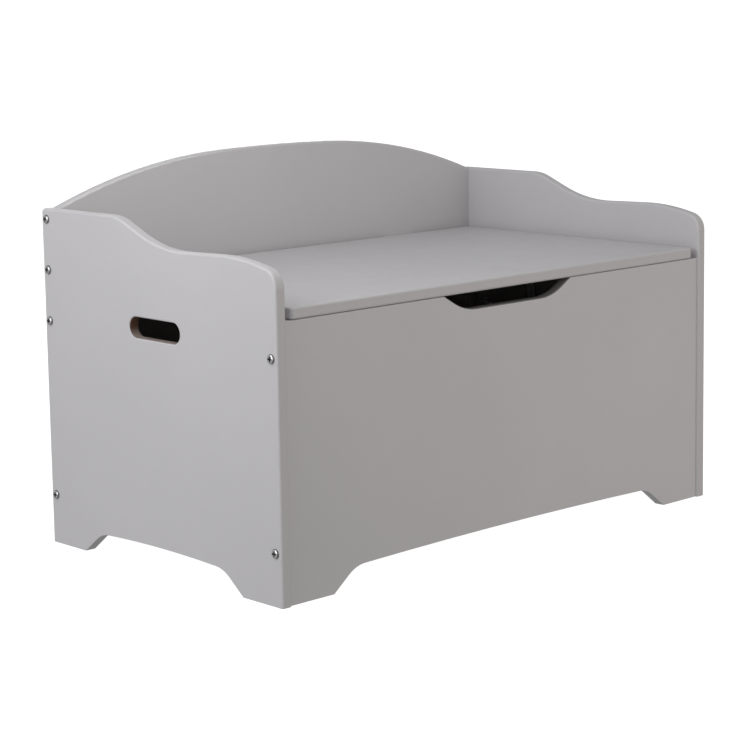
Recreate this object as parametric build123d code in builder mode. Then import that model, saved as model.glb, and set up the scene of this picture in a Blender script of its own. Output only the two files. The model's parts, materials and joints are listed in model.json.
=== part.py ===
"""Storage bench: a lidded toy chest with scrolled side panels and an arched back.

Millimetres, +Z up. The origin is on the floor at the middle of the footprint, +X is to the right
of somebody facing the front, and the front looks along -Y. The lid is shut at rest.
"""
from build123d import *
from math import asin, cos, degrees, hypot, radians, sin
import os

os.makedirs("parts", exist_ok=True)

# ---------------------------------------------------------------- driving dimensions
WIDTH = 800.0                # outside of the two side panels
DEPTH = 470.0                # front edge to rear edge of a side panel
BOARD = 15.0                 # painted fibreboard of every panel but the bottom
BOTTOM_BOARD = 9.0
SHOULDER_HEIGHT = 450.0      # rear part of the side panels, and the ends of the arch
ARCH_HEIGHT = 510.0          # crown of the back panel
SEAT_HEIGHT = 360.0          # top face of the lid
FACE_RECESS = 3.5            # front and back panels stand inside the side panels' edges
EDGE_ROUND = 3.0             # rounding routed on the visible board edges
REST_GAP = 0.3               # painted lid above the front panel when shut

# side panel outline, from the shoulder forwards
SHOULDER_RADIUS = 70.0
SLOPE_ANGLE = 22.5
SLOPE_LENGTH = 36.0
HOLLOW_RADIUS = 215.0
ARM_ANGLE = 1.6              # the arm rest climbs this much towards its crown
ARM_LENGTH = 68.0
ARM_CROWN_RADIUS = 322.0
ARM_NOSE_ANGLE = 14.0
NOSE_RADIUS = 24.0
REAR_CORNER_RADIUS = 6.0

# arch of the back panel: a flat middle arc and one tighter arc to each side
ARCH_MIDDLE_HALF = 95.0
ARCH_MIDDLE_RADIUS = 3300.0
ARCH_SIDE_RADIUS = 870.0

# feet left by the cut-outs under the panels
SIDE_FOOT = 73.0
FRONT_FOOT = 86.0            # measured from the outside of the bench
FOOT_ANGLE = 38.0
FOOT_SHOULDER = 29.0         # height where the slope of a foot meets the arch under the panel
FOOT_CROWN = 32.5
FOOT_BLEND = 45.0

# hand hole in each side panel and finger cut-out in the front panel
HAND_HOLE_LENGTH = 102.0
HAND_HOLE_HEIGHT = 27.0
HAND_HOLE_Z = 311.5
HOLE_ROUND = 2.0
FINGER_TOP_WIDTH = 235.0
FINGER_BOTTOM_WIDTH = 164.0
FINGER_DEPTH = 21.3
FINGER_CORNER = 78.0

# bottom panel, held in a groove round the four walls
BOTTOM_Z = 40.0
TONGUE = 6.0
GROOVE_DEPTH = 6.5
GROOVE_PLAY = 0.2

# lid
LID_END_GAP = 10.5
LID_FRONT_INSET = 3.0        # behind the side panels' front edges
LID_REAR_GAP = 6.7           # between the lid and the back panel, where the hinges sit
LID_CORNER = 5.0

# bolts with barrel nuts, and dowels
BOLT_DIAMETER = 5.9
BOLT_HEAD_DIAMETER = 12.0
BOLT_HEAD_HEIGHT = 2.7
BOLT_LENGTH = 50.0
BOLT_HOLE = 6.4
REAR_BOLT_HEIGHTS = (66.0, 301.0, 369.0, 436.0)
FRONT_BOLT_HEIGHTS = (66.0, 301.0)
RECESS_SPAN = 7.0
RECESS_SLOT = 2.2
RECESS_DEPTH = 2.2
NUT_DIAMETER = 10.0
NUT_LENGTH = 11.0
NUT_SLOT = 1.4               # screwdriver slot across the end that shows
NUT_REACH = 32.0             # from the side panel's inner face to the nut
DOWEL_DIAMETER = 8.0
DOWEL_LENGTH = 30.0
DOWEL_IN_SIDE = 10.0
DOWEL_HEIGHTS = (140.0, 220.0)
RUNNING = 0.05               # radial clearance of turning and fixed pins

# butt hinges, sunk in the gap behind the lid
HINGE_X = 230.0
HINGE_LENGTH = 60.0
LEAF = 1.2
BARREL_RADIUS = 2.6
STRAP = 1.7                  # thickness of the strap from a knuckle to its leaf
HINGE_PIN_RADIUS = 1.2
HINGE_DROP = 3.2             # axis below the lid's top face
HINGE_INSET = 3.0            # axis behind the lid's rear edge
KNUCKLE_END = 18.0
KNUCKLE_GAP = 0.3
BACK_LEAF_DROP = 24.0
LID_LEAF_DROP = 9.6
HINGE_SCREW_X = (-20.0, 0.0, 20.0)

# folding lid stays: the four pivots make a rhombus, so the lower arm turns with the lid
STAY_REACH = 120.0
STAY_ANGLE = 11.7            # side pivot ahead of the vertical, lid pivot below the lid's level
ARM_WIDTH = 14.0
ARM_THICKNESS = 2.0
PLATE = 1.5
PLATE_WIDTH = 22.0
PLATE_HEIGHT = 64.0          # hangs below its pivot, clear of the swinging arm
PLATE_SCREW_DROPS = (20.0, 42.0)
ARM_GAP = 0.3
PIVOT_RADIUS = 3.0
OPEN_PIVOT_PLAY = 0.3
RIVET_HEAD_RADIUS = 5.5
RIVET_HEAD = 1.2

# screws
SCREW_DIAMETER = 3.0
SCREW_HEAD_DIAMETER = 5.4
SCREW_HEAD = 1.1
SCREW_LENGTH = 12.0

# ---------------------------------------------------------------- derived places
HALF_WIDTH = WIDTH / 2
HALF_DEPTH = DEPTH / 2
INNER_X = HALF_WIDTH - BOARD
FACE_Y = HALF_DEPTH - FACE_RECESS            # outer faces of the front and back panels
INNER_Y = FACE_Y - BOARD
BOLT_Y = FACE_Y - BOARD / 2
LID_UNDER = SEAT_HEIGHT - BOARD
FRONT_TOP = LID_UNDER - REST_GAP
LID_FRONT = -HALF_DEPTH + LID_FRONT_INSET
LID_REAR = INNER_Y - LID_REAR_GAP
LID_HALF_X = INNER_X - LID_END_GAP
HINGE_Y = LID_REAR + HINGE_INSET
HINGE_Z = SEAT_HEIGHT - HINGE_DROP
STAY_NEAR = STAY_REACH * sin(radians(STAY_ANGLE))
STAY_FAR = STAY_REACH * cos(radians(STAY_ANGLE))
SIDE_PIVOT = (HINGE_Y - STAY_NEAR, HINGE_Z - STAY_FAR)
LID_PIVOT = (HINGE_Y - STAY_FAR, HINGE_Z - STAY_NEAR)
ELBOW = (HINGE_Y - STAY_NEAR - STAY_FAR, HINGE_Z - STAY_NEAR - STAY_FAR)
TOL = 1e-3


def save(piece, label):
    """Names a finished piece and writes its STEP file."""
    piece.label = label
    export_step(piece, f"parts/{label}.step")


def foot_cutout(half_span):
    """Closed outline, in the plane's own axes, of the arch between two feet."""
    run = FOOT_SHOULDER / sin(radians(FOOT_ANGLE)) * cos(radians(FOOT_ANGLE))
    inner = half_span - run
    with BuildSketch() as outline:
        with BuildLine():
            Polyline((-inner, FOOT_SHOULDER), (-half_span, 0), (-half_span, -5), (half_span, -5),
                     (half_span, 0), (inner, FOOT_SHOULDER))
            ThreePointArc((inner, FOOT_SHOULDER), (0, FOOT_CROWN), (-inner, FOOT_SHOULDER))
        make_face()
        shoulders = [v for v in outline.vertices() if abs(v.Y - FOOT_SHOULDER) < TOL]
        fillet(shoulders, radius=FOOT_BLEND)
    return outline.sketch


def side_outline():
    """Closed outline of a side panel: +x of the sketch runs from the front to the rear."""
    slope, arm, nose = (radians(a) for a in (SLOPE_ANGLE, ARM_ANGLE, ARM_NOSE_ANGLE))
    run = (
        SHOULDER_RADIUS * sin(slope)
        + SLOPE_LENGTH * cos(slope)
        + HOLLOW_RADIUS * (sin(slope) + sin(arm))
        + ARM_LENGTH * cos(arm)
        + ARM_CROWN_RADIUS * (sin(arm) + sin(nose))
        + NOSE_RADIUS * (1 - sin(nose))
    )
    with BuildSketch() as outline:
        with BuildLine():
            shoulder = JernArc((run - HALF_DEPTH, SHOULDER_HEIGHT), (-1, 0), SHOULDER_RADIUS, SLOPE_ANGLE)
            slant = Line(shoulder @ 1, shoulder @ 1 + (shoulder % 1) * SLOPE_LENGTH)
            hollow = JernArc(slant @ 1, slant % 1, HOLLOW_RADIUS, -(SLOPE_ANGLE + ARM_ANGLE))
            rest = Line(hollow @ 1, hollow @ 1 + (hollow % 1) * ARM_LENGTH)
            crown = JernArc(rest @ 1, rest % 1, ARM_CROWN_RADIUS, ARM_ANGLE + ARM_NOSE_ANGLE)
            front_nose = JernArc(crown @ 1, crown % 1, NOSE_RADIUS, 90 - ARM_NOSE_ANGLE)
            front = Line(front_nose @ 1, (-HALF_DEPTH, 0))
            Polyline(front @ 1, (HALF_DEPTH, 0), (HALF_DEPTH, SHOULDER_HEIGHT), shoulder @ 0)
        make_face()
        top_rear = [v for v in outline.vertices()
                    if v.X > HALF_DEPTH - TOL and v.Y > SHOULDER_HEIGHT - TOL]
        fillet(top_rear, radius=REAR_CORNER_RADIUS)
    return outline.sketch


def along_x(x):
    """Sketch plane at one x, seen from the right: +x runs rearwards, +y up, normal +X."""
    return Plane(origin=(x, 0, 0), x_dir=(0, 1, 0), z_dir=(1, 0, 0))


def along_y(y):
    """Sketch plane at one y, seen from the front: +x to the right, +y up, normal -Y."""
    return Plane(origin=(0, y, 0), x_dir=(1, 0, 0), z_dir=(0, -1, 0))


# ---------------------------------------------------------------- side panels
SIDE_PROFILE = side_outline()
SIDE_GAP = foot_cutout(HALF_DEPTH - SIDE_FOOT)
SIDE_HOLES = [(-BOLT_Y, z) for z in FRONT_BOLT_HEIGHTS] + [(BOLT_Y, z) for z in REAR_BOLT_HEIGHTS]
SIDE_DOWELS = [(y, z) for y in (-BOLT_Y, BOLT_Y) for z in DOWEL_HEIGHTS]
PLATE_SCREWS = [(SIDE_PIVOT[0], SIDE_PIVOT[1] - drop) for drop in PLATE_SCREW_DROPS]

for side, sign in (("left", -1), ("right", 1)):
    inner = sign * INNER_X
    with BuildPart() as panel:
        with BuildSketch(along_x(inner)):
            add(SIDE_PROFILE)
        extrude(amount=sign * BOARD)
        broad = panel.faces().filter_by(Axis.X)
        round_edges = [e for e in broad.edges() if e.center().Z > FOOT_CROWN + 10]
        fillet(round_edges, radius=EDGE_ROUND)
        with BuildSketch(along_x(inner)):
            add(SIDE_GAP)
        extrude(amount=sign * BOARD, mode=Mode.SUBTRACT)
        with BuildSketch(along_x(inner)):
            with Locations((0, HAND_HOLE_Z)):
                SlotOverall(HAND_HOLE_LENGTH, HAND_HOLE_HEIGHT)
        extrude(amount=sign * BOARD, mode=Mode.SUBTRACT)
        hole_rims = [e for e in panel.faces().filter_by(Axis.X).edges()
                     if abs(e.center().Z - HAND_HOLE_Z) < HAND_HOLE_HEIGHT
                     and abs(e.center().Y) < HAND_HOLE_LENGTH]
        fillet(hole_rims, radius=HOLE_ROUND)
        with BuildSketch(along_x(inner)):
            with Locations(*SIDE_HOLES):
                Circle(BOLT_HOLE / 2)
        extrude(amount=sign * BOARD, mode=Mode.SUBTRACT)
        with BuildSketch(along_x(inner)):
            with Locations(*SIDE_DOWELS):
                Circle(DOWEL_DIAMETER / 2 + RUNNING)
        extrude(amount=sign * (DOWEL_IN_SIDE + GROOVE_PLAY), mode=Mode.SUBTRACT)
        with BuildSketch(along_x(inner)):
            with Locations(*PLATE_SCREWS):
                Circle(SCREW_DIAMETER / 2 + RUNNING)
        extrude(amount=sign * (SCREW_LENGTH - PLATE), mode=Mode.SUBTRACT)
        with BuildSketch(along_x(inner)):
            with Locations((0, BOTTOM_Z + (BOTTOM_BOARD + GROOVE_PLAY) / 2)):
                Rectangle(2 * (INNER_Y + GROOVE_DEPTH), BOTTOM_BOARD + GROOVE_PLAY)
        extrude(amount=sign * GROOVE_DEPTH, mode=Mode.SUBTRACT)
    save(panel.part, f"{side}_side_panel")


# ---------------------------------------------------------------- front and back panels
def end_cuts(face_sign, nut_mouth, bolt_heights):
    """Bolt, barrel nut and dowel holes and the bottom groove of the front (-1) or back (1) panel."""
    centre = face_sign * BOLT_Y
    with BuildPart() as cuts:
        for end in (-1, 1):
            with BuildSketch(along_x(end * INNER_X)):
                with Locations(*[(centre, z) for z in bolt_heights]):
                    Circle(BOLT_HOLE / 2)
            extrude(amount=-end * (BOLT_LENGTH - BOARD + 2))
            with BuildSketch(along_x(end * INNER_X)):
                with Locations(*[(centre, z) for z in DOWEL_HEIGHTS]):
                    Circle(DOWEL_DIAMETER / 2 + RUNNING)
            extrude(amount=-end * (DOWEL_LENGTH - DOWEL_IN_SIDE + 1))
        with BuildSketch(along_y(nut_mouth)):
            with Locations(*[(end * (INNER_X - NUT_REACH), z) for end in (-1, 1) for z in bolt_heights]):
                Circle(NUT_DIAMETER / 2 + RUNNING)
        extrude(amount=BOARD - 2)
        with BuildSketch(along_y(face_sign * INNER_Y)):
            with Locations((0, BOTTOM_Z + (BOTTOM_BOARD + GROOVE_PLAY) / 2)):
                Rectangle(2 * INNER_X, BOTTOM_BOARD + GROOVE_PLAY)
        extrude(amount=-face_sign * GROOVE_DEPTH)
    return cuts.part


FRONT_GAP = foot_cutout(HALF_WIDTH - FRONT_FOOT)
FRONT_CUTS = end_cuts(-1, -INNER_Y, FRONT_BOLT_HEIGHTS)     # nuts go in from inside the chest
BACK_CUTS = end_cuts(1, FACE_Y, REAR_BOLT_HEIGHTS)          # nuts go in from the rear face

with BuildPart() as front_panel:
    with BuildSketch(along_y(-INNER_Y)) as front_face:
        with Locations((0, FRONT_TOP / 2)):
            Rectangle(2 * INNER_X, FRONT_TOP)
        with BuildLine():
            half_top, half_bottom = FINGER_TOP_WIDTH / 2, FINGER_BOTTOM_WIDTH / 2
            floor_z = FRONT_TOP - FINGER_DEPTH
            Polyline((-half_top, FRONT_TOP), (-half_bottom, floor_z), (half_bottom, floor_z),
                     (half_top, FRONT_TOP), close=True)
        make_face(mode=Mode.SUBTRACT)
        finger_corners = [v for v in front_face.vertices() if abs(v.Y - floor_z) < TOL]
        fillet(finger_corners, radius=FINGER_CORNER)
    extrude(amount=BOARD)
    finger_rims = [e for e in front_panel.faces().filter_by(Axis.Y).edges()
                   if abs(e.center().X) < half_top and FRONT_TOP - TOL > e.center().Z > floor_z - 1]
    fillet(finger_rims, radius=HOLE_ROUND)
    with BuildSketch(along_y(-INNER_Y)):
        add(FRONT_GAP)
    extrude(amount=BOARD, mode=Mode.SUBTRACT)
    add(FRONT_CUTS, mode=Mode.SUBTRACT)
save(front_panel.part, "front_panel")

BACK_SCREWS = [(side * HINGE_X + dx, HINGE_Z - BACK_LEAF_DROP + 8) for side in (-1, 1)
               for dx in HINGE_SCREW_X]

with BuildPart() as back_panel:
    middle_turn = asin(ARCH_MIDDLE_HALF / ARCH_MIDDLE_RADIUS)
    full_turn = asin((INNER_X - ARCH_MIDDLE_HALF) / ARCH_SIDE_RADIUS + sin(middle_turn))
    with BuildSketch(along_y(FACE_Y)):
        with BuildLine():
            middle = JernArc((0, ARCH_HEIGHT), (1, 0), ARCH_MIDDLE_RADIUS, -degrees(middle_turn))
            flank = JernArc(middle @ 1, middle % 1, ARCH_SIDE_RADIUS, -degrees(full_turn - middle_turn))
            Polyline(flank @ 1, (INNER_X, 0), (0, 0))
            mirror(about=Plane.YZ)
        make_face()
    extrude(amount=BOARD)
    arch_edges = [e for e in back_panel.faces().filter_by(Axis.Y).edges()
                  if e.center().Z > SHOULDER_HEIGHT - TOL]
    fillet(arch_edges, radius=EDGE_ROUND)
    with BuildSketch(along_y(FACE_Y)):
        add(FRONT_GAP)
    extrude(amount=BOARD, mode=Mode.SUBTRACT)
    with BuildSketch(along_y(INNER_Y)):
        with Locations(*BACK_SCREWS):
            Circle(SCREW_DIAMETER / 2 + RUNNING)
    extrude(amount=-(SCREW_LENGTH - LEAF), mode=Mode.SUBTRACT)
    add(BACK_CUTS, mode=Mode.SUBTRACT)
save(back_panel.part, "back_panel")

# ---------------------------------------------------------------- bottom panel
with BuildPart() as bottom_panel:
    with BuildSketch(Plane.XY.offset(BOTTOM_Z)):
        Rectangle(2 * (INNER_X + TONGUE), 2 * (INNER_Y + TONGUE))
    extrude(amount=BOTTOM_BOARD)
save(bottom_panel.part, "bottom_panel")

# ---------------------------------------------------------------- lid
LID_LEAF_SCREW_Z = HINGE_Z - LID_LEAF_DROP + 3.2
LID_SCREWS = [(side * HINGE_X + dx, LID_LEAF_SCREW_Z) for side in (-1, 1) for dx in HINGE_SCREW_X]
BRACKET_LENGTH = 44.0
BRACKET_FOOT = 16.0
FLANGE_X = INNER_X - PLATE - 2 * ARM_THICKNESS - 3 * ARM_GAP   # outer face of the lid bracket's flange
BRACKET_SCREWS = [(side * (FLANGE_X - PLATE - BRACKET_FOOT / 2), LID_PIVOT[0] + dy)
                  for side in (-1, 1) for dy in (-14.0, 14.0)]

with BuildPart() as lid_seat:
    with BuildSketch(Plane.XY.offset(LID_UNDER)):
        with Locations((0, (LID_FRONT + LID_REAR) / 2)):
            RectangleRounded(2 * LID_HALF_X, LID_REAR - LID_FRONT, LID_CORNER)
    extrude(amount=BOARD)
    fillet(lid_seat.faces().filter_by(Axis.Z).edges(), radius=EDGE_ROUND)
    with BuildSketch(along_y(LID_REAR)):
        with Locations(*LID_SCREWS):
            Circle(SCREW_DIAMETER / 2 + RUNNING)
    extrude(amount=SCREW_LENGTH - LEAF, mode=Mode.SUBTRACT)
    with BuildSketch(Plane.XY.offset(LID_UNDER)):
        with Locations(*BRACKET_SCREWS):
            Circle(SCREW_DIAMETER / 2 + RUNNING)
    extrude(amount=SCREW_LENGTH - PLATE, mode=Mode.SUBTRACT)
save(lid_seat.part, "lid_seat")

# ---------------------------------------------------------------- bolts, barrel nuts, dowels
for side, sign in (("left", -1), ("right", 1)):
    for place, y, heights in (("front", -BOLT_Y, FRONT_BOLT_HEIGHTS), ("rear", BOLT_Y, REAR_BOLT_HEIGHTS)):
        spots = [(y, z) for z in heights]
        with BuildPart() as bolts:
            with BuildSketch(along_x(sign * HALF_WIDTH)):
                with Locations(*spots):
                    Circle(BOLT_HEAD_DIAMETER / 2)
            extrude(amount=sign * BOLT_HEAD_HEIGHT)
            rims = bolts.faces().filter_by(Axis.X).sort_by(Axis.X)
            outer = rims[-len(spots):] if sign > 0 else rims[:len(spots)]
            fillet([f.edges()[0] for f in outer], radius=BOLT_HEAD_HEIGHT * 0.75)
            with BuildSketch(along_x(sign * HALF_WIDTH)):
                with Locations(*spots):
                    Circle(BOLT_DIAMETER / 2)
            extrude(amount=-sign * BOLT_LENGTH)
            with BuildSketch(along_x(sign * (HALF_WIDTH + BOLT_HEAD_HEIGHT))):
                with Locations(*spots):
                    Rectangle(RECESS_SPAN, RECESS_SLOT)
                    Rectangle(RECESS_SLOT, RECESS_SPAN)
            extrude(amount=-sign * RECESS_DEPTH, taper=14, mode=Mode.SUBTRACT)
        save(bolts.part, f"{side}_{place}_bolts")

for place, face_sign, heights in (("front", -1, FRONT_BOLT_HEIGHTS), ("rear", 1, REAR_BOLT_HEIGHTS)):
    spots = [(end * (INNER_X - NUT_REACH), z) for end in (-1, 1) for z in heights]
    with BuildPart() as nuts:
        with BuildSketch(along_y(face_sign * (BOLT_Y - NUT_LENGTH / 2))):
            with Locations(*spots):
                Circle(NUT_DIAMETER / 2)
        extrude(amount=-face_sign * NUT_LENGTH)
        with BuildSketch(along_x(0)):
            with Locations(*[(face_sign * BOLT_Y, z) for z in heights]):
                Circle(BOLT_DIAMETER / 2 + RUNNING)
        extrude(amount=INNER_X, both=True, mode=Mode.SUBTRACT)
        with BuildSketch(along_y(face_sign * BOLT_Y + NUT_LENGTH / 2)):
            with Locations(*spots):
                Rectangle(NUT_DIAMETER + 1, NUT_SLOT)
        extrude(amount=NUT_SLOT, mode=Mode.SUBTRACT)
    save(nuts.part, f"{place}_barrel_nuts")
    with BuildPart() as dowels:
        for end in (-1, 1):
            with BuildSketch(along_x(end * (INNER_X + DOWEL_IN_SIDE))):
                with Locations(*[(face_sign * BOLT_Y, z) for z in DOWEL_HEIGHTS]):
                    Circle(DOWEL_DIAMETER / 2)
            extrude(amount=-end * DOWEL_LENGTH)
        chamfer(dowels.faces().filter_by(Axis.X).edges(), length=0.8)
    save(dowels.part, f"{place}_dowels")


# ---------------------------------------------------------------- hinges
def knuckle(x_from, x_to, leaf_side):
    """One rolled knuckle with the strap that joins it to its leaf: -1 towards the lid, 1 to the back."""
    face_y = LID_REAR if leaf_side < 0 else INNER_Y
    with BuildPart() as roll:
        with BuildSketch(along_x(x_from)):
            with Locations((HINGE_Y, HINGE_Z)):
                Circle(BARREL_RADIUS)
            with Locations(((HINGE_Y + face_y) / 2, HINGE_Z - BARREL_RADIUS + STRAP / 2)):
                Rectangle(abs(face_y - HINGE_Y), STRAP)
        extrude(amount=x_to - x_from)
    return roll.part


for side, sign in (("left", -1), ("right", 1)):
    centre = sign * HINGE_X
    x0, x1 = centre - HINGE_LENGTH / 2, centre + HINGE_LENGTH / 2
    inner0, inner1 = x0 + KNUCKLE_END + KNUCKLE_GAP, x1 - KNUCKLE_END - KNUCKLE_GAP
    leaf_top = HINGE_Z - BARREL_RADIUS + STRAP
    outer_knuckles = [knuckle(x0, x0 + KNUCKLE_END, 1), knuckle(x1 - KNUCKLE_END, x1, 1)]
    middle_knuckle = knuckle(inner0, inner1, -1)
    notch = leaf_top - HINGE_Z + BARREL_RADIUS + 0.6

    with BuildPart() as back_leaf:
        with BuildSketch(along_y(INNER_Y)):
            with Locations((centre, (leaf_top + HINGE_Z - BACK_LEAF_DROP) / 2)):
                Rectangle(HINGE_LENGTH, leaf_top - HINGE_Z + BACK_LEAF_DROP)
            with Locations((centre, leaf_top - notch / 2)):
                Rectangle(inner1 - inner0 + 2 * KNUCKLE_GAP, notch, mode=Mode.SUBTRACT)
        extrude(amount=LEAF)
        add(outer_knuckles)
        with BuildSketch(along_x(x0)):
            with Locations((HINGE_Y, HINGE_Z)):
                Circle(HINGE_PIN_RADIUS + RUNNING)
        extrude(amount=HINGE_LENGTH, mode=Mode.SUBTRACT)
        with BuildSketch(along_y(INNER_Y)):
            with Locations(*[(centre + dx, HINGE_Z - BACK_LEAF_DROP + 8) for dx in HINGE_SCREW_X]):
                Circle(SCREW_DIAMETER / 2 + RUNNING)
        extrude(amount=LEAF, mode=Mode.SUBTRACT)
    save(back_leaf.part, f"{side}_hinge_back_leaf")

    with BuildPart() as lid_leaf:
        with BuildSketch(along_y(LID_REAR + LEAF)):
            with Locations((centre, (leaf_top + HINGE_Z - LID_LEAF_DROP) / 2)):
                Rectangle(HINGE_LENGTH, leaf_top - HINGE_Z + LID_LEAF_DROP)
            with Locations((x0 + (KNUCKLE_END + KNUCKLE_GAP) / 2, leaf_top - notch / 2),
                           (x1 - (KNUCKLE_END + KNUCKLE_GAP) / 2, leaf_top - notch / 2)):
                Rectangle(KNUCKLE_END + KNUCKLE_GAP, notch, mode=Mode.SUBTRACT)
        extrude(amount=LEAF)
        add(middle_knuckle)
        with BuildSketch(along_x(inner0)):
            with Locations((HINGE_Y, HINGE_Z)):
                Circle(HINGE_PIN_RADIUS + RUNNING)
        extrude(amount=inner1 - inner0, mode=Mode.SUBTRACT)
        with BuildSketch(along_y(LID_REAR + LEAF)):
            with Locations(*[(centre + dx, LID_LEAF_SCREW_Z) for dx in HINGE_SCREW_X]):
                Circle(SCREW_DIAMETER / 2 + RUNNING)
        extrude(amount=LEAF, mode=Mode.SUBTRACT)
    save(lid_leaf.part, f"{side}_hinge_lid_leaf")

    with BuildPart() as hinge_pin:
        with BuildSketch(along_x(x0)):
            with Locations((HINGE_Y, HINGE_Z)):
                Circle(HINGE_PIN_RADIUS)
        extrude(amount=HINGE_LENGTH)
        chamfer(hinge_pin.faces().filter_by(Axis.X).edges(), length=0.3)
    save(hinge_pin.part, f"{side}_hinge_pin")


# ---------------------------------------------------------------- screws
def pan_screws(plane_at, spots, label):
    """Round-headed screws seated on one plane, with their shanks going in behind it."""
    with BuildPart() as screws:
        with BuildSketch(plane_at):
            with Locations(*spots):
                Circle(SCREW_HEAD_DIAMETER / 2)
        extrude(amount=SCREW_HEAD)
        with BuildSketch(plane_at):
            with Locations(*spots):
                Circle(SCREW_DIAMETER / 2)
        extrude(amount=-(SCREW_LENGTH - 0.5))
        with BuildSketch(plane_at.offset(SCREW_HEAD)):
            with Locations(*spots):
                Rectangle(3.2, 0.7)
                Rectangle(0.7, 3.2)
        extrude(amount=-0.6, mode=Mode.SUBTRACT)
    save(screws.part, label)


pan_screws(along_y(INNER_Y - LEAF), BACK_SCREWS, "hinge_back_screws")
REARWARD = Plane(origin=(0, LID_REAR + LEAF, 0), x_dir=(-1, 0, 0), z_dir=(0, 1, 0))
pan_screws(REARWARD, [(-x, z) for x, z in LID_SCREWS], "hinge_lid_screws")
DOWNWARD = Plane(origin=(0, 0, LID_UNDER - PLATE), x_dir=(1, 0, 0), z_dir=(0, 0, -1))
pan_screws(DOWNWARD, [(x, -y) for x, y in BRACKET_SCREWS], "stay_lid_screws")


# ---------------------------------------------------------------- folding lid stays
def link(x_inner, outward, start, end, start_hole, end_hole):
    """Flat bar between two pivots, with round ends and a hole at each end."""
    middle = ((start[0] + end[0]) / 2, (start[1] + end[1]) / 2)
    length = hypot(end[0] - start[0], end[1] - start[1])
    tilt = degrees(asin((end[1] - start[1]) / length))
    if end[0] < start[0]:
        tilt = 180 - tilt
    with BuildPart() as bar:
        with BuildSketch(along_x(x_inner)):
            with Locations(Location((middle[0], middle[1], 0), (0, 0, tilt))):
                SlotCenterToCenter(length, ARM_WIDTH)
            with Locations(start):
                Circle(start_hole, mode=Mode.SUBTRACT)
            with Locations(end):
                Circle(end_hole, mode=Mode.SUBTRACT)
        extrude(amount=outward * ARM_THICKNESS)
        long_edges = [e for e in bar.faces().filter_by(Axis.X).edges() if e.length > 8 * PIVOT_RADIUS]
        chamfer(long_edges, length=0.4)
    return bar.part


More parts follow.
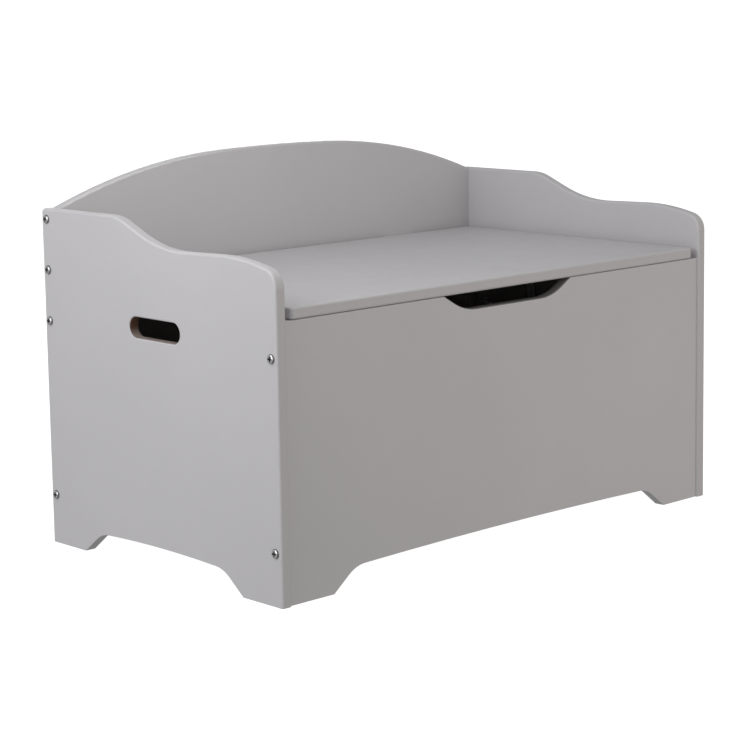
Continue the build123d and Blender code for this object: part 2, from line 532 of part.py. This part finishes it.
for side, sign in (("left", -1), ("right", 1)):
    plate_x = sign * (INNER_X - PLATE)                       # inner face of the side plate
    lower_x = plate_x - sign * (ARM_GAP + ARM_THICKNESS)     # inner face of the lower arm
    upper_x = lower_x - sign * (ARM_GAP + ARM_THICKNESS)     # inner face of the upper arm
    flange_x = sign * FLANGE_X
    running_hole = PIVOT_RADIUS + RUNNING

    with BuildPart() as side_plate:
        with BuildSketch(along_x(plate_x)):
            with Locations((SIDE_PIVOT[0], SIDE_PIVOT[1] + (PLATE_WIDTH - PLATE_HEIGHT) / 2)):
                RectangleRounded(PLATE_WIDTH, PLATE_HEIGHT, 6)
            with Locations(SIDE_PIVOT):
                Circle(PIVOT_RADIUS, mode=Mode.SUBTRACT)
            with Locations(*PLATE_SCREWS):
                Circle(SCREW_DIAMETER / 2 + RUNNING, mode=Mode.SUBTRACT)
        extrude(amount=sign * PLATE)
    save(side_plate.part, f"{side}_stay_side_plate")

    inward = Plane(origin=(plate_x, 0, 0), x_dir=(0, -sign, 0), z_dir=(-sign, 0, 0))
    pan_screws(inward, [(-sign * y, z) for y, z in PLATE_SCREWS], f"{side}_stay_side_screws")

    with BuildPart() as side_rivet:
        with BuildSketch(along_x(sign * INNER_X)):
            with Locations(SIDE_PIVOT):
                Circle(PIVOT_RADIUS)
        extrude(amount=-sign * (PLATE + 2 * ARM_GAP + ARM_THICKNESS))
        with BuildSketch(along_x(lower_x - sign * ARM_GAP)):
            with Locations(SIDE_PIVOT):
                Circle(RIVET_HEAD_RADIUS)
        extrude(amount=-sign * RIVET_HEAD)
    save(side_rivet.part, f"{side}_stay_side_rivet")

    save(link(lower_x, sign, SIDE_PIVOT, ELBOW, running_hole, PIVOT_RADIUS), f"{side}_stay_lower_arm")

    with BuildPart() as elbow_rivet:
        with BuildSketch(along_x(lower_x + sign * ARM_THICKNESS)):
            with Locations(ELBOW):
                Circle(PIVOT_RADIUS)
        extrude(amount=-sign * (2 * ARM_THICKNESS + 2 * ARM_GAP))
        with BuildSketch(along_x(upper_x - sign * ARM_GAP)):
            with Locations(ELBOW):
                Circle(RIVET_HEAD_RADIUS)
        extrude(amount=-sign * RIVET_HEAD)
    save(elbow_rivet.part, f"{side}_stay_elbow_rivet")

    open_hole = PIVOT_RADIUS + OPEN_PIVOT_PLAY
    save(link(upper_x, sign, ELBOW, LID_PIVOT, running_hole, open_hole), f"{side}_stay_upper_arm")

    with BuildPart() as lid_bracket:
        foot_middle = flange_x - sign * (PLATE + BRACKET_FOOT) / 2
        with BuildSketch(Plane.XY.offset(LID_UNDER - PLATE)):
            with Locations((foot_middle, LID_PIVOT[0])):
                Rectangle(PLATE + BRACKET_FOOT, BRACKET_LENGTH)
            with Locations(*[spot for spot in BRACKET_SCREWS if spot[0] * sign > 0]):
                Circle(SCREW_DIAMETER / 2 + RUNNING, mode=Mode.SUBTRACT)
        extrude(amount=PLATE)
        with BuildSketch(along_x(flange_x)):
            with BuildLine():
                Polyline((LID_PIVOT[0] - BRACKET_LENGTH / 2, LID_UNDER), (LID_PIVOT[0] - 9, LID_PIVOT[1] - 8),
                         (LID_PIVOT[0] + 9, LID_PIVOT[1] - 8), (LID_PIVOT[0] + BRACKET_LENGTH / 2, LID_UNDER),
                         close=True)
            make_face()
            with Locations(LID_PIVOT):
                Circle(PIVOT_RADIUS, mode=Mode.SUBTRACT)
        extrude(amount=-sign * PLATE)
    save(lid_bracket.part, f"{side}_stay_lid_bracket")

    with BuildPart() as lid_rivet:
        with BuildSketch(along_x(flange_x - sign * PLATE)):
            with Locations(LID_PIVOT):
                Circle(PIVOT_RADIUS)
        extrude(amount=sign * (PLATE + 2 * ARM_GAP + ARM_THICKNESS))
        with BuildSketch(along_x(flange_x - sign * PLATE)):
            with Locations(LID_PIVOT):
                Circle(RIVET_HEAD_RADIUS)
        extrude(amount=-sign * RIVET_HEAD)
    save(lid_rivet.part, f"{side}_stay_lid_rivet")
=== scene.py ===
"""Looks of the storage bench: painted board, bare fibreboard in the hand holes, plated hardware."""

import json
import math

import bmesh
import bpy
from mathutils import Matrix, Vector


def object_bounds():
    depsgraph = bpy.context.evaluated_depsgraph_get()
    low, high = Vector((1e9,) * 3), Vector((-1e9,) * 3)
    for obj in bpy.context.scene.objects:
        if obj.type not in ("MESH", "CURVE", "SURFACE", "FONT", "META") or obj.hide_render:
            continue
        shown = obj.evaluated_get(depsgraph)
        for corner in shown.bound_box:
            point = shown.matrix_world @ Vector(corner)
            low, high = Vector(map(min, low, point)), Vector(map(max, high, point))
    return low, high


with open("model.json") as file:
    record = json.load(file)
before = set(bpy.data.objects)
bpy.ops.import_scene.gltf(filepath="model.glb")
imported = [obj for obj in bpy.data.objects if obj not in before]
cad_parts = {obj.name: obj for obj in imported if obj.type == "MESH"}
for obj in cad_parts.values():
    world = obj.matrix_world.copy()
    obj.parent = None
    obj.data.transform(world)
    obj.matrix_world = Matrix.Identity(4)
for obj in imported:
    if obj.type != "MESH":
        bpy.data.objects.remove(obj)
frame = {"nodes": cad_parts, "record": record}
CAD_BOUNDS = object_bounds()
NODES = frame["nodes"]

# ------------------------------------------------------------------ camera
CAMERA_AT = Vector((-2.0488, -2.1619, 0.7389))
YAW, PITCH, ROLL = math.radians(43.164), math.radians(-8.274), math.radians(-0.915)
FOCAL_PX, IMAGE = 2195.2, 750.0
SENSOR = 36.0
RISE = -0.10                 # less lens shift than the photograph's, which would push other views off centre

forward = Vector((math.sin(YAW) * math.cos(PITCH), math.cos(YAW) * math.cos(PITCH), math.sin(PITCH)))
level_right = Vector((math.cos(YAW), -math.sin(YAW), 0.0))
level_up = level_right.cross(forward)
right = level_right * math.cos(ROLL) + level_up * math.sin(ROLL)
up = level_up * math.cos(ROLL) - level_right * math.sin(ROLL)
camera = bpy.data.objects.new("camera", bpy.data.cameras.new("camera"))
bpy.context.scene.collection.objects.link(camera)
camera.matrix_world = Matrix((
    (right.x, up.x, -forward.x, CAMERA_AT.x),
    (right.y, up.y, -forward.y, CAMERA_AT.y),
    (right.z, up.z, -forward.z, CAMERA_AT.z),
    (0.0, 0.0, 0.0, 1.0),
))
camera.data.sensor_width = SENSOR
camera.data.lens = FOCAL_PX / IMAGE * SENSOR
camera.data.shift_y = RISE
bpy.context.scene.camera = camera

# ------------------------------------------------------------------ places on the bench, in metres
SIDE_INNER = 0.3855          # |x| just past the side panels' inner faces
WALL_INNER = 0.2167          # |y| just past the inner faces of the front and back panels
BOTTOM_LOWER = 0.041         # z just over the bottom panel's lower face
SHADE_FADE_LOW, SHADE_FADE_HIGH = 0.22, 0.345              # z between which the painted shade inside the chest fades out
SIDE_EDGE = 0.386            # |x| beyond which a front edge belongs to a side panel
LID_LOWER = 0.3448           # z just under the lid's lower face
LID_FRONT = -0.20            # y in front of which a lid face is its front edge
PANEL_Y = 0.224              # |y| of the middle of the front and back boards, and of the bolts
CUT_DEPTH, CUT_REACH = 0.0072, 0.1195          # half the finger cut-out along y and x
CUT_Z, CUT_HEIGHT = 0.3333, 0.0116             # its middle, and half its height
HOLE_Z, HOLE_HEIGHT = 0.3115, 0.0172           # a hand hole's middle, and half its height with a margin
HOLE_REACH, HOLE_FROM = 0.0545, 0.384          # half its length with a margin, and |x| where it begins
BOLT_HEIGHTS = (0.066, 0.301, 0.369, 0.436)
RECESS_RADIUS, RECESS_TO = 0.0038, 0.40262     # the cross recess lies inside this radius and this |x|
RIM_FROM, RIM_TO = 0.0046, 0.0058              # radii of a bolt head's rim, where its painted dark ring lies

# sockets of the Mix node when it mixes colours
MIX_FACTOR, MIX_A, MIX_B, MIX_RESULT = 0, 6, 7, 2


# ------------------------------------------------------------------ material tools
class Nodes:
    """A material's node tree with short calls for the nodes used here."""

    def __init__(self, name):
        self.material = bpy.data.materials.new(name)
        self.material.use_nodes = True
        self.tree = self.material.node_tree
        self.shader = self.tree.nodes["Principled BSDF"]
        texture = self.tree.nodes.new("ShaderNodeTexCoord")
        self.place = texture.outputs["Object"]
        self.normal = texture.outputs["Normal"]

    def set(self, socket, value):
        """Link a socket to an output, or give it a plain value."""
        if hasattr(value, "is_output"):
            self.tree.links.new(value, socket)
        else:
            socket.default_value = value

    def node(self, kind, inputs=(), **settings):
        made = self.tree.nodes.new(kind)
        for key, value in settings.items():
            setattr(made, key, value)
        for key, value in dict(inputs).items():
            self.set(made.inputs[key], value)
        return made

    def axes(self, vector):
        """The X, Y and Z outputs of a vector."""
        return self.node("ShaderNodeSeparateXYZ", {"Vector": vector}).outputs

    def stretched(self, scale):
        return self.node("ShaderNodeMapping", {"Vector": self.place, "Scale": scale}).outputs["Vector"]

    def noise(self, scale, detail=2.0, roughness=0.5, at=None):
        return self.node("ShaderNodeTexNoise", {
            "Vector": at or self.place, "Scale": scale, "Detail": detail, "Roughness": roughness,
        }).outputs["Fac"]

    def ramp(self, fac, low, high, colour_low, colour_high):
        made = self.node("ShaderNodeValToRGB", {"Fac": fac})
        first, last = made.color_ramp.elements
        first.position, last.position = low, high
        first.color, last.color = (*colour_low, 1.0), (*colour_high, 1.0)
        return made.outputs["Color"]

    def remap(self, value, low, high, to_low, to_high):
        return self.node("ShaderNodeMapRange", {
            "Value": value, "From Min": low, "From Max": high, "To Min": to_low, "To Max": to_high,
        }).outputs["Result"]

    def maths(self, operation, a, b=0.0):
        return self.node("ShaderNodeMath", {0: a, 1: b}, operation=operation).outputs[0]

    def distance(self, value, middle=0.0):
        return self.maths("ABSOLUTE", self.maths("SUBTRACT", value, middle))

    def within(self, reach, value, middle=0.0):
        """A mask that is 1 where a value is less than reach from the middle."""
        return self.maths("LESS_THAN", self.distance(value, middle), reach)

    def beyond(self, reach, value):
        """A mask that is 1 where a value is more than reach from 0, on either side."""
        return self.maths("GREATER_THAN", self.distance(value), reach)

    def every(self, first, *others):
        """The product of masks, which is 1 only where all of them are 1."""
        for mask in others:
            first = self.maths("MULTIPLY", first, mask)
        return first

    def mix(self, fac, a, b):
        made = self.node("ShaderNodeMix", {MIX_FACTOR: fac}, data_type="RGBA")
        self.set(made.inputs[MIX_A], a)
        self.set(made.inputs[MIX_B], b)
        return made.outputs[MIX_RESULT]

    def bump(self, height, distance, strength=1.0, under=None):
        inputs = {"Height": height, "Distance": distance, "Strength": strength}
        if under is not None:
            inputs["Normal"] = under
        return self.node("ShaderNodeBump", inputs).outputs["Normal"]

    def shade(self, **sockets):
        for name, value in sockets.items():
            self.set(self.shader.inputs[name.replace("_", " ")], value)
        return self.material


# ------------------------------------------------------------------ painted board
def paint_colour(n, place, normal):
    """Light grey paint, with painted shade inside the chest, on the front edges and on the finger cut-out's
    wall, some seen in the photograph and some guessed from it.
    """
    clouds = n.noise(3.0, 3.0, 0.55)
    mottle = n.noise(60.0, 4.0, 0.6)
    paint = n.ramp(clouds, 0.3, 0.7, (0.512, 0.502, 0.517), (0.540, 0.529, 0.545))
    paint = n.mix(n.remap(mottle, 0.35, 0.65, 0.0, 0.10), paint, (0.478, 0.470, 0.482, 1.0))

    # painted shade, and a guess: the chest looks black inside in the photograph, so its walls are painted
    # darker towards the bottom
    depth = n.maths("ADD", place["Z"], n.maths("MULTIPLY", clouds, 0.03))
    inside_shade = n.every(
        n.within(SIDE_INNER, place["X"]),
        n.within(WALL_INNER, place["Y"]),
        n.maths("GREATER_THAN", place["Z"], BOTTOM_LOWER),
        n.remap(depth, SHADE_FADE_LOW, SHADE_FADE_HIGH, 1.0, 0.0))
    paint = n.mix(inside_shade, paint, (0.20, 0.175, 0.165, 1.0))

    # painted shade: the boards' front edges are a little darker than the faces in the photograph, and that
    # shade is painted into their colour
    edge = n.beyond(0.8, normal["Y"])
    side_edge_shade = n.every(edge, n.beyond(SIDE_EDGE, place["X"]))
    lid_edge_shade = n.every(
        edge,
        n.maths("GREATER_THAN", place["Z"], LID_LOWER),
        n.maths("LESS_THAN", place["Y"], LID_FRONT))
    paint = n.mix(n.maths("MAXIMUM", side_edge_shade, lid_edge_shade), paint, (0.498, 0.486, 0.499, 1.0))

    # painted shade: the finger cut-out's wall is dark in the photograph, where the lid shades it, and it is
    # painted dark; the finger cut-out's wall is dark in the photograph; why is a guess
    cut_wall_shade = n.every(
        n.within(CUT_DEPTH, place["Y"], -PANEL_Y),
        n.within(CUT_REACH, place["X"]),
        n.within(CUT_HEIGHT, place["Z"], CUT_Z))
    return n.mix(cut_wall_shade, paint, (0.20, 0.19, 0.19, 1.0))


def hand_hole_walls(n, place, normal):
    """A mask of the walls that run through the side panels at the hand holes."""
    return n.every(
        n.within(HOLE_HEIGHT, place["Z"], HOLE_Z),
        n.within(HOLE_REACH, place["Y"]),
        n.beyond(HOLE_FROM, place["X"]),
        n.remap(n.distance(normal["X"]), 0.25, 0.6, 1.0, 0.0))


def painted_board():
    """Satin light grey paint on fibreboard, bare where the hand holes go through the sides, with painted
    light on the holes' lower walls.
    """
    n = Nodes("painted_board")
    place = n.axes(n.place)
    normal = n.axes(n.normal)

    # the hand hole's wall is brown in the photograph: bare fibreboard
    fibres = n.noise(900.0, 5.0, 0.7)
    bare_and_lit_wall = n.ramp(fibres, 0.3, 0.72, (0.075, 0.033, 0.017), (0.27, 0.145, 0.095))
    # painted light: the up-facing lower wall of each hand hole is painted lighter, as light falls on it from
    # above
    bare_and_lit_wall = n.mix(n.remap(normal["Z"], 0.1, 0.95, 0.0, 0.85), bare_and_lit_wall, (0.37, 0.315, 0.29, 1.0))
    walls = hand_hole_walls(n, place, normal)
    colour = n.mix(walls, paint_colour(n, place, normal), bare_and_lit_wall)

    gloss = n.remap(n.noise(35.0, 3.0, 0.6), 0.3, 0.7, 0.40, 0.50)
    gloss = n.maths("ADD", gloss, n.maths("MULTIPLY", walls, 0.4))
    peel = n.bump(n.noise(420.0, 2.0, 0.5), 0.00012, 0.35)
    peel = n.bump(n.noise(55.0, 2.0, 0.4), 0.0006, 0.20, peel)
    grainy = n.bump(n.maths("MULTIPLY", fibres, walls), 0.0006, 0.8, peel)
    n.shader.inputs["Specular IOR Level"].default_value = 0.45
    return n.shade(Base_Color=colour, Roughness=gloss, Normal=grainy)


# ------------------------------------------------------------------ metal and wood
def plated(name, dark, light, rough_low, rough_high, brush=(1.0, 1.0, 1.0)):
    """Plated steel: brushed or tumbled, with faint dull patches."""
    n = Nodes(name)
    lines = n.noise(900.0, 3.0, 0.6, n.stretched(brush))
    patches = n.noise(140.0, 3.0, 0.6)
    colour = n.ramp(n.maths("MULTIPLY", lines, patches), 0.12, 0.42, dark, light)
    rough = n.remap(patches, 0.3, 0.7, rough_low, rough_high)
    n.shader.inputs["Metallic"].default_value = 1.0
    return n.shade(Base_Color=colour, Roughness=rough, Normal=n.bump(lines, 0.00004, 0.5))


def bolt_heads():
    """Bright plated bolts, with a painted dark ring of shade and reflection round each head's rim and
    painted shade in the cross recess.
    """
    n = Nodes("bolt_steel")
    place = n.axes(n.place)
    rise = n.distance(place["Z"], BOLT_HEIGHTS[0])
    for height in BOLT_HEIGHTS[1:]:
        rise = n.maths("MINIMUM", rise, n.distance(place["Z"], height))
    across = n.maths("SUBTRACT", n.distance(place["Y"]), PANEL_Y)
    squares = n.maths("ADD", n.maths("MULTIPLY", rise, rise), n.maths("MULTIPLY", across, across))
    radius = n.maths("SQRT", squares)
    recess_shade = n.every(n.maths("LESS_THAN", radius, RECESS_RADIUS), n.within(RECESS_TO, place["X"]))
    rim_shade = n.remap(radius, RIM_FROM, RIM_TO, 0.0, 1.0)
    patches = n.noise(260.0, 3.0, 0.6)
    colour = n.ramp(patches, 0.3, 0.7, (0.78, 0.78, 0.77), (0.93, 0.93, 0.92))
    # painted shade and reflection: a dark ring round each head's rim
    colour = n.mix(rim_shade, colour, (0.22, 0.22, 0.22, 1.0))
    # painted shade: the cross recess is painted dark
    colour = n.mix(recess_shade, colour, (0.28, 0.28, 0.28, 1.0))
    n.shader.inputs["Metallic"].default_value = 1.0
    return n.shade(Base_Color=colour, Roughness=n.remap(patches, 0.3, 0.7, 0.14, 0.24),
                   Normal=n.bump(n.noise(900.0, 3.0, 0.6), 0.00002, 0.4))


def beech():
    """Turned beech dowel: straight grain along X with short dark flecks."""
    n = Nodes("dowel_beech")
    grain = n.noise(500.0, 4.0, 0.6, n.stretched((0.08, 1.0, 1.0)))
    flecks = n.noise(1500.0, 1.0, 0.5, n.stretched((0.15, 1.0, 1.0)))
    colour = n.ramp(grain, 0.3, 0.7, (0.50, 0.31, 0.15), (0.68, 0.47, 0.26))
    colour = n.mix(n.remap(flecks, 0.62, 0.75, 0.0, 0.6), colour, (0.30, 0.16, 0.07, 1.0))
    return n.shade(Base_Color=colour, Roughness=n.remap(grain, 0.3, 0.7, 0.6, 0.75),
                   Normal=n.bump(grain, 0.0001, 0.5))


ALONG_X = (0.05, 1.0, 1.0)
ALONG_ARM = (1.0, 0.15, 0.15)
MATERIALS = {
    "painted_board": painted_board(),
    "bolt_steel": bolt_heads(),
    "nut_zinc": plated("nut_zinc", (0.62, 0.62, 0.60), (0.84, 0.84, 0.81), 0.34, 0.50),
    "hinge_zinc": plated("hinge_zinc", (0.74, 0.74, 0.73), (0.92, 0.92, 0.91), 0.34, 0.48, ALONG_X),
    "screw_zinc": plated("screw_zinc", (0.72, 0.72, 0.72), (0.92, 0.92, 0.91), 0.24, 0.38),
    "stay_steel": plated("stay_steel", (0.72, 0.72, 0.73), (0.90, 0.90, 0.91), 0.36, 0.50, ALONG_ARM),
    "dowel_wood": beech(),
}
for part in frame["record"]["subparts"]:
    mesh = NODES[part["node"]].data
    mesh.materials.clear()
    mesh.materials.append(MATERIALS[part["material_slot"]])


# ------------------------------------------------------------------ floor and backdrop
def white(name, glow, grain, dark, light):
    """White paper that glows by itself, so that it is pale in every view."""
    paper = Nodes(name)
    paper.shader.inputs["Emission Color"].default_value = (1.0, 1.0, 1.0, 1.0)
    paper.shader.inputs["Emission Strength"].default_value = glow
    base = paper.ramp(paper.noise(grain), 0.3, 0.7, (dark, dark, dark), (light, light, light))
    return paper.shade(Base_Color=base, Roughness=0.9)


FLOOR_REACH, FLOOR_DROP = 40.0, 0.0002
WALL_RADIUS = 45.0

corners = [(x * FLOOR_REACH, y * FLOOR_REACH, 0) for x, y in ((-1, -1), (1, -1), (1, 1), (-1, 1))]
floor_mesh = bpy.data.meshes.new("floor")
floor_mesh.from_pydata(corners, [], [(0, 1, 2, 3)])
floor_mesh.materials.append(white("floor_paper", 0.96, 0.6, 0.31, 0.33))
floor = bpy.data.objects.new("floor", floor_mesh)
floor.location.z = CAD_BOUNDS[0].z - FLOOR_DROP

# a white sphere all round, so that no view sees past the floor
wall_mesh = bpy.data.meshes.new("backdrop")
shell = bmesh.new()
bmesh.ops.create_uvsphere(shell, u_segments=48, v_segments=24, radius=WALL_RADIUS)
shell.to_mesh(wall_mesh)
shell.free()
wall_mesh.materials.append(white("backdrop_white", 1.0, 0.3, 0.30, 0.33))
wall = bpy.data.objects.new("backdrop", wall_mesh)

# the camera sees both, but they neither light the bench nor shade it
for staged in (floor, wall):
    bpy.context.scene.collection.objects.link(staged)
    for rays in ("visible_diffuse", "visible_glossy", "visible_transmission", "visible_shadow"):
        setattr(staged, rays, False)

# ------------------------------------------------------------------ light
HORIZON = 0.08               # half the height of the band where the two halves of the world blend
BELOW, ABOVE = 0.337, 0.459  # the world's strength under and over that band

world = bpy.data.worlds.new("studio")
world.use_nodes = True
sky = world.node_tree
sky.nodes["Background"].inputs["Color"].default_value = (1.0, 1.0, 1.0, 1.0)
blend = sky.nodes.new("ShaderNodeMapRange")
for socket, value in (("From Min", -HORIZON), ("From Max", HORIZON), ("To Min", BELOW), ("To Max", ABOVE)):
    blend.inputs[socket].default_value = value
split = sky.nodes.new("ShaderNodeSeparateXYZ")
sky.links.new(sky.nodes.new("ShaderNodeTexCoord").outputs["Generated"], split.inputs["Vector"])
sky.links.new(split.outputs["Z"], blend.inputs["Value"])
sky.links.new(blend.outputs["Result"], sky.nodes["Background"].inputs["Strength"])
bpy.context.scene.world = world


def softbox(name, at, aim, size, strength, colour=(1.0, 1.0, 1.0)):
    """A square light that the camera doesn't see, equally strong at its aim from any distance."""
    at, aim = Vector(at), Vector(aim)
    lamp = bpy.data.lights.new(name, "AREA")
    lamp.shape = "SQUARE"
    lamp.size = size
    lamp.energy = 10.0 * strength * (at - aim).length_squared
    lamp.color = colour
    made = bpy.data.objects.new(name, lamp)
    made.location = at
    made.rotation_euler = (at - aim).to_track_quat("Z", "Y").to_euler()
    made.visible_camera = False
    bpy.context.scene.collection.objects.link(made)


MIDDLE = (0.0, 0.0, 0.25)
OVER_LID = (0.0, -0.15, 0.30)
WARM = (1.0, 0.93, 0.82)
softbox("left_wall", (-2.560, 0.0, 0.701), MIDDLE, 1.4, 0.288)
softbox("left_high", (-1.065, 0.0, 0.996), MIDDLE, 0.6, 0.167)
softbox("front_low", (0.445, -2.522, 0.701), MIDDLE, 1.4, 0.148, WARM)
softbox("front_right", (0.734, -1.049, 0.200), MIDDLE, 0.6, 0.050, WARM)
softbox("over_seat", (-0.35, -0.22, 0.95), OVER_LID, 0.5, 0.22)
softbox("behind_right", (1.3, 2.3, 0.6), MIDDLE, 1.2, 0.12)

bpy.context.scene.view_settings.view_transform = "Standard"
bpy.context.scene.view_settings.look = "None"
